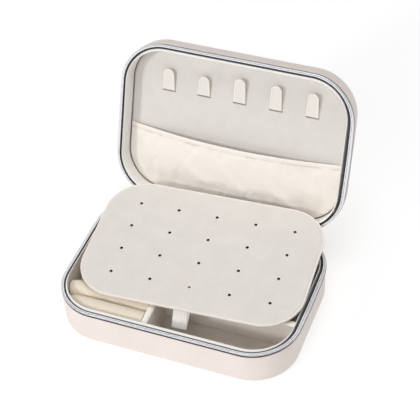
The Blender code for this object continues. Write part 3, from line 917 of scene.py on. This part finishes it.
fold_turn = radians(37)
fold_height = 0.0012
folds_across, folds_along = 120, 16
for index, vertex in enumerate(pocket.data.vertices):
    row, column = divmod(index, width)
    fade = sin(pi * column / pocket_columns) * sin(pi * row / pocket_rows)
    along = vertex.co.x * cos(fold_turn) + vertex.co.y * sin(fold_turn)
    aside = vertex.co.y * cos(fold_turn) - vertex.co.x * sin(fold_turn)
    ridge = noise.noise(Vector((aside * folds_across, along * folds_along, 7.0)))
    vertex.co.z -= fold_height * fade ** 0.6 * (0.5 + ridge)
mouth_line = [pocket.data.vertices[column].co.copy() for column in range(width)]
thickened(pocket, satin_thickness)
pocket.data.transform(lid_place)
fit(pocket, "lid", cream_satin, "cream_satin", "lid_pocket")

# The mouth is a hem with elastic in it, gathered into small puckers and sewn below them.
hem_width = 0.0042
hem_thickness = 0.0014
hem_steps = 330


def hem_ring(share):
    """The flattened tube of the hem, crimped where it is gathered."""
    spot = share * (len(mouth_line) - 1)
    index = min(int(spot), len(mouth_line) - 2)
    point = mouth_line[index].lerp(mouth_line[index + 1], spot - index)
    crimp = noise.noise(Vector((share * 95, 0.0, 2.0)))
    thick = hem_thickness * (0.9 + 0.25 * crimp)
    wide = hem_width * (1 + 0.05 * noise.noise(Vector((share * 60, 4.0, 0.0))))
    points = []
    for part in range(14):
        turn = 2 * pi * part / 14
        points.append(point + Vector((0, wide * (0.42 + 0.5 * cos(turn)),
                                      -0.0004 - thick * 0.5 * sin(turn))))
    return points


hem = loft("pocket_hem_satin", [hem_ring(0.004 + 0.992 * step / hem_steps)
                               for step in range(hem_steps + 1)])
hem.data.transform(lid_place)
fit(hem, "lid", cream_satin, "cream_satin", "pocket_hem")

# Real thread, with painted shade: it is made darker than the satin for the shade of the puckers along the
# stitch line.
shaded_thread = new_material("sewing_thread_painted_shade")
surface(shaded_thread, {"Base Color": linear("C6B59F"), "Roughness": 0.7})
stitch = bead("stitch", length=0.0004, width=0.0019, height=0.0004)
stitch_line = [point + Vector((0, hem_width, -0.0009)) for point in mouth_line[1:-1]]
stitches = repeated("pocket_hem_stitches", stitch_line, 0.0026, stitch, shaded_thread)
stitches.data.transform(lid_place)
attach(stitches, "lid")


# ---- Earring board ----
# A loose stiff board covered in pale microsuede, its corners cut to the tray's, with twenty
# punched holes for ear posts.  It lies pushed back over the tray, turned a little.

board_low, board_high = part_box("earring_board")
board_half_x = tray_half_x - 0.0014
board_half_y = tray_half_y - 0.00215
board_thickness = 0.0022
board_tilt, board_twist = radians(5.0), Matrix.Rotation(radians(2.97), 4, "Z")
board_place = (Matrix.Translation((board_low + board_high) / 2)
               @ Matrix.Rotation(board_tilt, 4, "X") @ board_twist)
hole_radius = 0.00135
hole_columns, hole_rows = 5, 4
hole_pitch_x, hole_pitch_y, hole_shift = 0.0352, 0.0260, 0.0012
edge_round = 0.0004


def holes_tree():
    """Punches a grid of holes through a board."""
    tree, given = new_tree("punched_holes", (
        ("Board", "Geometry"), ("Columns", "Int"), ("Rows", "Int"), ("Size X", "Float"),
        ("Size Y", "Float"), ("Shift", "Vector"), ("Punch", "Object"), ("Finish", "Material")),
        "Board")
    grid = add(tree, "GeometryNodeMeshGrid", {
        "Size X": given["Size X"], "Size Y": given["Size Y"], "Vertices X": given["Columns"],
        "Vertices Y": given["Rows"]})
    moved = add(tree, "GeometryNodeSetPosition", {"Geometry": grid["Mesh"], "Offset": given["Shift"]})
    cutters = copies(tree, moved["Geometry"], given["Punch"], {})
    cut = add(tree, "GeometryNodeMeshBoolean", {
        "Mesh 1": given["Board"], "Mesh 2": cutters}, operation="DIFFERENCE", solver="EXACT")
    return finish_tree(tree, cut["Mesh"], given["Finish"])


def punch_shape():
    """A round punch with a soft shoulder, so that the cloth dips into each hole."""
    top = board_thickness / 2
    profile = [(0.0021, top + 0.001), (0.0021, top + 0.00002), (0.0017, top - 0.00005),
               (0.00145, top - 0.00012), (hole_radius, top - 0.00025),
               (hole_radius, -top - 0.001)]
    rings = [[Vector((radius * cos(2 * pi * side / 20), radius * sin(2 * pi * side / 20), z))
              for side in range(20)] for radius, z in profile]
    return loft("punch", rings)


board_radius = tray_radius + 0.0014
board_outline = outline(board_half_x, board_half_y, board_radius)
half_board = board_thickness / 2
board_skin = [(0.004, -half_board)] + rounded_edge(edge_round, -half_board + edge_round,
                                                   edge_round, -90, 0, 4)
board_skin += [(0.0, half_board - 0.0010), (0.0004, half_board - 0.0009),
               (0.0004, half_board - 0.0005)]
board_skin += rounded_edge(edge_round, half_board - edge_round, edge_round, 0, 90, 4)
board_skin += [(0.0011, half_board), (0.0014, half_board - 0.0003),
               (0.0017, half_board - 0.0003), (0.0020, half_board), (0.004, half_board)]
board = loft("earring_board_suede", [ring(board_outline, inset, z) for inset, z in board_skin])
board_suede = microsuede("board_microsuede", "DCD7D1", "E9E4DE", 0.35)
# Painted highlight: a paler copy of the board's suede for the band along its edge.
board_rim_highlight_suede = microsuede("board_edge_painted_highlight", "F0E7E0", "F9F1EB", 0.35)
# Painted shade: near black for the walls of the holes.
hole_shade_board = dark_shade_weave("hole_walls_painted_shade", "0B0A09", "1C1A18", thread_mm=0.3)
punch = punch_shape()
punched = grown(board, holes_tree(),
                {"Columns": hole_columns, "Rows": hole_rows,
                 "Size X": (hole_columns - 1) * hole_pitch_x,
                 "Size Y": (hole_rows - 1) * hole_pitch_y, "Shift": (hole_shift, 0.0, 0.0),
                 "Punch": punch, "Finish": board_suede})
board.data = punched
drop(punch)
punched.set_sharp_from_angle(angle=radians(50))
crisp_flats(punched)
fit(board, "board", board_suede, "greige_microsuede", "earring_board")
punched.materials.append(hole_shade_board)
punched.materials.append(board_rim_highlight_suede)
# Faces near the outline take the pale edge colour as a painted highlight; the walls of the holes are
# painted near black as their shade, save those over the ribbon, which take the pale colour as painted
# light.
for face in punched.polygons:
    spot = face.center
    beyond = Vector((max(0.0, abs(spot.x) - board_half_x + board_radius),
                     max(0.0, abs(spot.y) - board_half_y + board_radius)))
    at_edge = max(abs(spot.x) - board_half_x, abs(spot.y) - board_half_y,
                  beyond.length - board_radius if all(beyond) else -1.0) > -0.0013
    if at_edge:
        face.material_index = 2
    elif abs(face.normal.z) < 0.6 and abs(spot.z) < half_board - 0.0004:
        over_ribbon = abs(spot.x - hole_shift) < hole_pitch_x / 2 and spot.y < -hole_pitch_y
        face.material_index = 2 if over_ribbon else 1
punched.transform(board_place)


# ---- Board ribbon ----
# A loop of cream satin ribbon glued under the board's front edge, to lift it by.  It hangs
# into the front compartment, its two layers a little apart.

ribbon_width = 0.0130
ribbon_length = 0.0174
ribbon_ribs, rib_height = 3, 0.00018
ribbon_thickness = 0.0004
layer_gap, layer_slip = 0.0009, 0.0016
ribbon_lean = radians(28)
ribbon_root = board_place @ Vector((0.0005, 0.0022 - board_half_y, -half_board - 0.0009))
ribbon_place = (Matrix.Translation(ribbon_root) @ board_twist
                @ Matrix.Rotation(-ribbon_lean, 4, "X"))


def ribbon_point(across, down):
    """Down the front layer, round the fold and up the back one, which stands off it."""
    run = 2 * down
    back = max(0.0, run - 1)
    y = 0.0002 + layer_gap * min(1.0, 6 * back)
    z = -ribbon_length * (2 - run if back else run)
    curl = 0.0004 * across * across + rib_height * cos(2 * pi * ribbon_ribs * across)
    return Vector((across * ribbon_width / 2 + layer_slip * back, y + curl, z))


# Painted light: the ribbon's satin is made near white, paler than the pocket's, for the light it catches.
ribbon_painted_light_satin = satin("ribbon_satin_painted_light", "FFFBF4", "FFFEFB")
ribbon = cloth_grid("board_ribbon_satin", ribbon_point, 64, 48)
thickened(ribbon, ribbon_thickness)
ribbon.data.transform(ribbon_place)
fit(ribbon, "board", ribbon_painted_light_satin, "cream_satin", "board_ribbon")
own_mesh(ribbon)


# ---- Spine ----
# The hinge: blush leatherette that runs up the base's back, folds into the gap and goes on
# down the lid's back.  Behind it each rim has a flat strip where the zip leaves off.

leaf_reach = 0.0090
leaf_thickness = 0.0009
spine_half = spine_width / 2 - 0.0003
rim_back, rim_round = 0.0002, 0.0005
bend_reach, bend_depth = 0.0024, 0.0007


def strip_section(side):
    """A flat rim strip in (y from the hinge, height) pairs."""
    inner_y = -(coil_inset + coil_width)
    points = []
    for centre_y, turn_start in ((rim_back - rim_round, 0), (inner_y + rim_round, 90)):
        for part in range(5):
            turn = radians(turn_start + 90 * part / 4)
            points.append((centre_y + rim_round * cos(turn),
                           side * (rim_clearance + rim_round * (1 - sin(turn)))))
    return points + [(inner_y, side * zip_seat), (rim_back, side * zip_seat)]


lid_turn = Matrix.Rotation(-open_turn, 4, "X")
for side, body, level, turned in ((-1, "base", "lower", Matrix()), (1, "lid", "upper", lid_turn)):
    place = Matrix.Translation(hinge) @ turned
    rings = [[place @ Vector((x, y, z)) for y, z in strip_section(side)]
             for x in (-spine_half + 2 * spine_half * step / 24 for step in range(25))]
    strip = loft("spine_rim_" + level, rings)
    fit(strip, body, blush, "blush_leatherette", f"spine_{level}_leaf")


def spine_ring(x):
    """The leather's section, laid shut and then bent open about the hinge line."""
    steps = 44
    front, back = [], []
    for step in range(steps + 1):
        height = -leaf_reach + 2 * leaf_reach * step / steps
        dip = 0.0004 * exp(-(height / 0.0016) ** 2)
        share = min(1.0, max(0.0, height / (2 * bend_reach) + 0.5))
        turn = Matrix.Rotation(-open_turn * share * share * (3 - 2 * share), 3, "X")
        for side, line in ((0.0003, front), (0.0003 + leaf_thickness, back)):
            pinch = 0.12 if line is back and abs(height) < 0.003 else 0.0
            flat = Vector((0, side - dip, height * (1 - pinch)))
            line.append(hinge + turn @ flat + Vector((x, 0, 0)))
    return front + back[::-1]


spine = loft("spine_leather", [spine_ring(-spine_half + 2 * spine_half * step / 30)
                               for step in range(31)])
spine.data.materials.append(blush)
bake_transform(spine)


# ---- Zip slider and pull ----
# Nickel-plated zinc: two plates held by a nose, a bridge on top, and a pull that hangs from
# it.  The slider is parked at the left end of the zip, behind the case.

# Nickel plate on a die casting is bright, with faint handling marks.
nickel, place = patterned("nickel_plated_zinc")
marks = add(nickel, "ShaderNodeTexNoise", {"Vector": place, "Scale": 700.0, "Detail": 4.0})
gloss = add(nickel, "ShaderNodeMapRange", {"Value": marks["Fac"], "To Min": 0.14, "To Max": 0.34})
surface(nickel, {
    "Base Color": linear("D9D7D3"), "Metallic": 1.0, "Roughness": gloss["Result"]
}, (marks["Fac"], 0.08, 0.0001))
slider_low, slider_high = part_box("zip_slider")
pull_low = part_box("zip_pull")[0]
pull_pin = Vector(joints["zip_pull_swing"]["pos_m"])


def rounded_block(bm, low, high, radius):
    """Adds a block with rounded edges to a mesh."""
    low, high = Vector(low), Vector(high)
    part = bmesh.new()
    bmesh.ops.create_cube(part, size=1)
    bmesh.ops.scale(part, vec=high - low, verts=part.verts)
    bmesh.ops.translate(part, vec=(low + high) / 2, verts=part.verts)
    bmesh.ops.bevel(part, geom=part.edges[:], offset=radius, segments=3, affect="EDGES",
                    profile=0.5)
    flat = bpy.data.meshes.new("block")
    part.to_mesh(flat)
    part.free()
    bm.from_mesh(flat)
    bpy.data.meshes.remove(flat)


slider_mesh = bmesh.new()
plate_thickness = 0.0009
plate_round, nose_round, lug_round, overlap = 0.0004, 0.0003, 0.0002, 0.0004
lug_apart, lug_half, lug_rise, nose_half = 0.00245, 0.00045, 0.0018, 0.0012
pin_radius, pin_length = 0.0008, 0.0052
body_back = slider_low.y + 0.0034
centre_x = (slider_low.x + slider_high.x) / 2
centre_z = (slider_low.z + slider_high.z) / 2
for low_y, high_y in ((slider_low.y, slider_low.y + plate_thickness),
                      (body_back - plate_thickness, body_back)):
    rounded_block(slider_mesh, (slider_low.x, low_y, slider_low.z),
                  (slider_high.x, high_y, slider_high.z), plate_round)
rounded_block(
    slider_mesh, (slider_low.x + 0.0002, slider_low.y + overlap, centre_z - nose_half),
    (slider_low.x + 0.0030, body_back - overlap, centre_z + nose_half), nose_round)
for side in (-1, 1):
    lug_x = centre_x + side * lug_apart
    rounded_block(slider_mesh, (lug_x - lug_half, body_back - overlap, pull_pin.z - lug_rise),
                  (lug_x + lug_half, slider_high.y, pull_pin.z + lug_rise), lug_round)
pin = bmesh.ops.create_cone(slider_mesh, cap_ends=True, segments=24, radius1=pin_radius,
                            radius2=pin_radius, depth=pin_length)["verts"]
bmesh.ops.rotate(slider_mesh, cent=(0, 0, 0), matrix=Matrix.Rotation(pi / 2, 3, "Y"), verts=pin)
bmesh.ops.translate(slider_mesh, vec=pull_pin, verts=pin)
slider = as_object("zip_slider_body", slider_mesh)
fit(slider, "base", nickel, "nickel_zinc", "zip_slider")

pull_half, neck_half = 0.00275, 0.0013
pull_thickness = 0.0012
barrel_outer, barrel_bore = 0.00185, 0.00115
barrel_half = 0.0017
barrel_rings = []
for radius, x in ((barrel_bore, -barrel_half), (barrel_outer, -barrel_half),
                  (barrel_outer, barrel_half), (barrel_bore, barrel_half)):
    barrel_rings.append([pull_pin + Vector((x, radius * cos(2 * pi * side / 28),
                                            radius * sin(2 * pi * side / 28)))
                         for side in range(28)])
barrel = loft("barrel", barrel_rings, looped=True)


def tongue_ring(y, inset):
    """The tongue's outline: a narrow neck that widens into a long round-ended tag."""
    top, bottom = pull_pin.z - barrel_outer + 0.0002, pull_low.z
    points = []
    for step in range(41):
        share = step / 40
        z = top + (bottom - top) * share
        neck = neck_half + (pull_half - neck_half) * min(1.0, max(0.0, (share - 0.08) / 0.14))
        past = max(0.0, (bottom + pull_half) - z)
        wide = min(neck, sqrt(max(pull_half ** 2 - past ** 2, 1e-9)))
        points.append((max(wide - inset, 0.0002), max(z, bottom + inset)))
    right = [Vector((pull_pin.x + wide, y, z)) for wide, z in points]
    left = [Vector((pull_pin.x - wide, y, z)) for wide, z in reversed(points)]
    return right + left


tongue = loft("tongue", [tongue_ring(pull_pin.y + level, inset) for level, inset in
                         ((-pull_thickness / 2, 0.0003), (-pull_thickness / 2 + 0.0003, 0.0),
                          (pull_thickness / 2 - 0.0003, 0.0), (pull_thickness / 2, 0.0003))])
pull = joined("zip_pull_tag", barrel, tongue)
fit(pull, "pull", nickel, "nickel_zinc", "zip_pull")

drop(coil_turn, stitch)


# ---- Floor, light and camera ----
# A plain pale floor under an even white sky.  The key lamp stands at the front left, a soft
# one hangs overhead and a weak one fills from the front.

lit = Vector((0, 0, 0.05))


def emitter(name, place, size, power):
    """A round lamp that faces the middle of the case."""
    lamp = bpy.data.lights.new(name, "AREA")
    lamp.shape, lamp.size, lamp.energy = "DISK", size, power
    holder = linked(name, lamp)
    holder.location = place
    holder.rotation_euler = (lit - Vector(place)).to_track_quat("-Z", "Y").to_euler()


floor_grey, floor_glow, sky_strength = 0.45, 0.64, 0.4
floor_mesh = bmesh.new()
bmesh.ops.create_grid(floor_mesh, x_segments=1, y_segments=1, size=6.0)
floor = as_object("floor", floor_mesh)
floor_paint = new_material("pale_floor")
surface(floor_paint, {
    "Base Color": (floor_grey, floor_grey, floor_grey, 1.0), "Roughness": 0.9, "Specular IOR Level": 0.1,
    "Emission Color": (1.0, 1.0, 1.0, 1.0), "Emission Strength": floor_glow})
floor.data.materials.append(floor_paint)

sky = bpy.data.worlds.new("white_sky")
sky.use_nodes = True
sky.node_tree.nodes["Background"].inputs["Color"].default_value = (1.0, 1.0, 1.0, 1.0)
sky.node_tree.nodes["Background"].inputs["Strength"].default_value = sky_strength
bpy.context.scene.world = sky
emitter("key", (-1.1, -1.8, 1.0), 0.35, 15)
emitter("overhead", (0.1, 0.1, 1.8), 1.0, 10)
emitter("fill", (0.0, -1.4, 1.25), 0.8, 5)

turn_round, raise_up, tilt_round = radians(24.18), radians(44.61), radians(-4.515)
distance, aside, above = 1.16697, 0.01227, 0.07719
back = Vector((sin(turn_round) * cos(raise_up), -cos(turn_round) * cos(raise_up), sin(raise_up)))
level_right = Vector((cos(turn_round), sin(turn_round), 0))
level_up = back.cross(level_right)
right = cos(tilt_round) * level_right + sin(tilt_round) * level_up
up = cos(tilt_round) * level_up - sin(tilt_round) * level_right
lens = bpy.data.cameras.new("camera")
lens.lens, lens.sensor_width = 115.02, 36
lens.clip_start, lens.clip_end = 0.05, 50
camera = linked("camera", lens)
camera.matrix_world = Matrix((right, up, back)).transposed().to_4x4()
camera.matrix_world.translation = back * distance + right * aside + up * above
bpy.context.scene.camera = camera
bpy.context.scene.view_settings.view_transform = "Standard"
